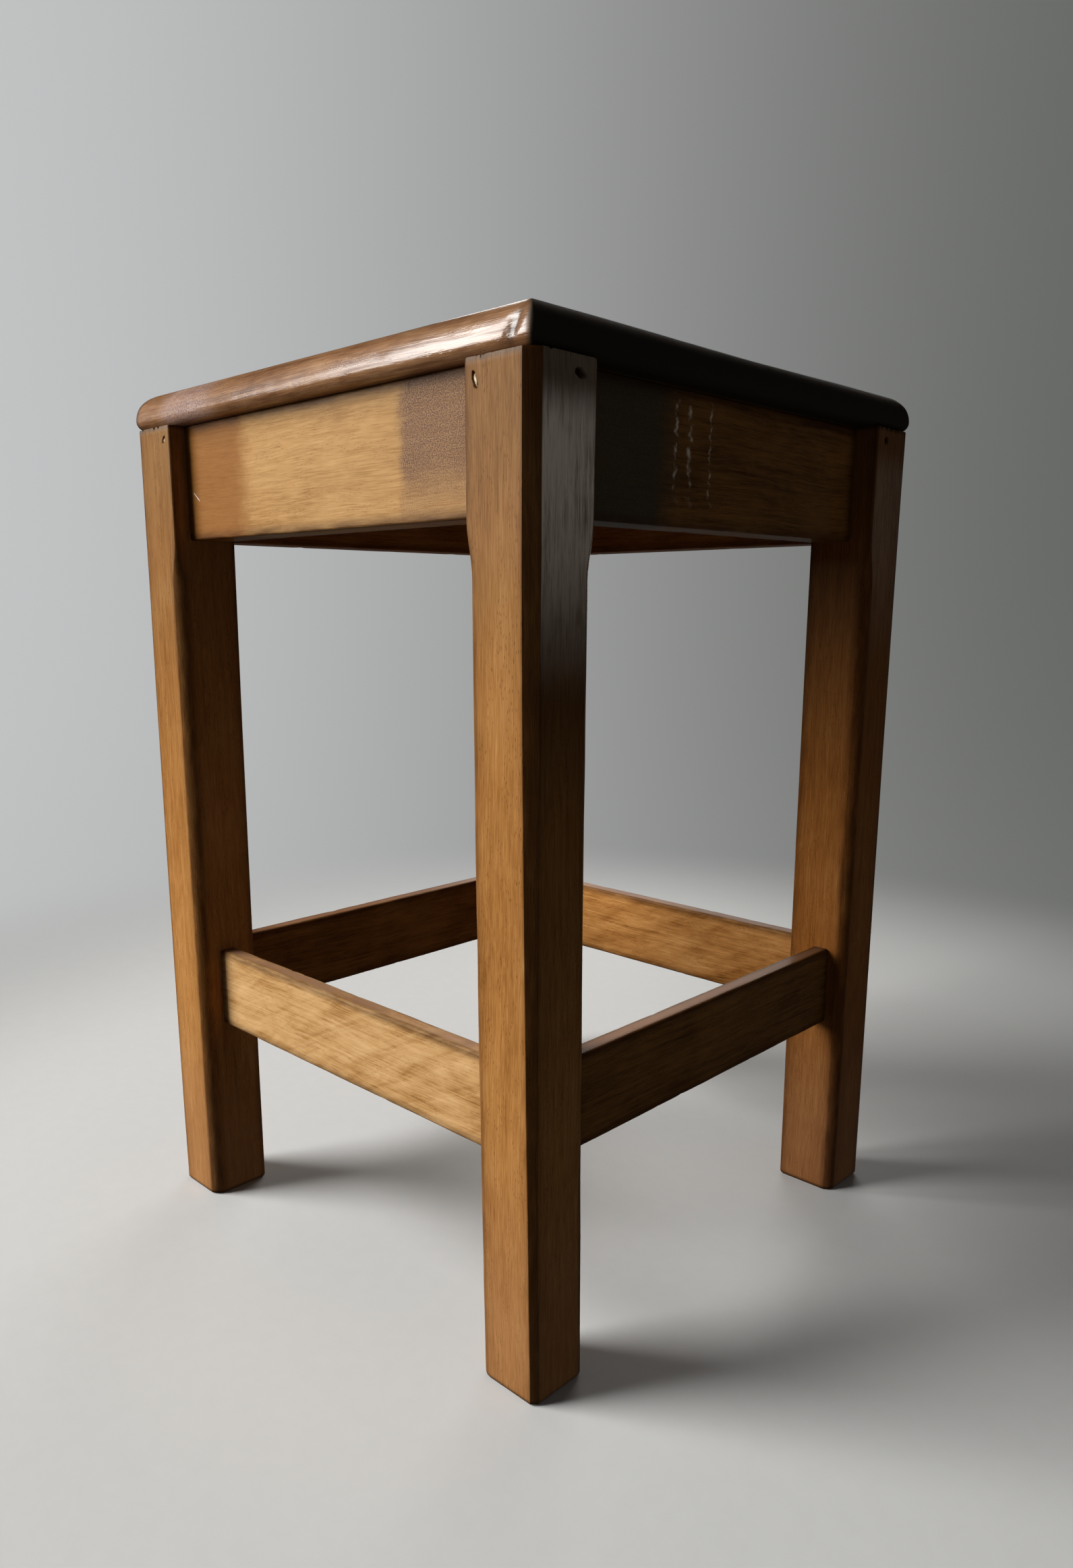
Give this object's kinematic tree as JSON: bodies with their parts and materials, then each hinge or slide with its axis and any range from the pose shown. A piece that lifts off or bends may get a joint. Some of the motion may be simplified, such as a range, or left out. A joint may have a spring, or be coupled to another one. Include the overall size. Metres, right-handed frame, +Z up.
{
  "type": "square four leg stool",
  "caption": "Square wooden stool with tapered, chamfered legs, deep aprons under the seat, low stretchers all round and a shallow dished seat.",
  "frame": {"origin": "on the floor under the middle of the seat", "axes": "+Z up, +X to the sitter's right, -Y towards the front"},
  "size_m": [0.304, 0.304, 0.465],
  "materials": {
    "seat_wood": "stained and varnished beech, glossy",
    "leg_wood": "stained and varnished beech, satin, worn at the corners",
    "apron_golden_wood": "golden stained beech with dark, rubbed ends, satin",
    "apron_wood": "stained and varnished beech, satin",
    "apron_dark_wood": "dark stained beech with runs in the varnish, satin",
    "stretcher_golden_wood": "golden stained beech with dark rough upper edges, satin",
    "stretcher_wood": "dark stained beech, satin",
    "block_wood": "bare planed softwood, matt",
    "screw_steel": "dull steel, lightly rusted",
    "nail_steel": "rusted steel",
    "putty": "dry wood filler, matt"
  },
  "bodies": {
    "root": {"seat": "seat_wood", "leg_front_left": "leg_wood", "leg_front_right": "leg_wood", "leg_back_left": "leg_wood", "leg_back_right": "leg_wood", "apron_front": "apron_golden_wood", "apron_back": "apron_wood", "apron_left": "apron_wood", "apron_right": "apron_dark_wood", "stretcher_front": "stretcher_golden_wood", "stretcher_back": "stretcher_golden_wood", "stretcher_left": "stretcher_wood", "stretcher_right": "stretcher_wood", "corner_block_front_left": "block_wood", "corner_block_front_right": "block_wood", "corner_block_back_left": "block_wood", "corner_block_back_right": "block_wood", "seat_screws": "screw_steel", "apron_nails": "nail_steel", "nail_fillers": "putty"}
  },
  "joints": []
}
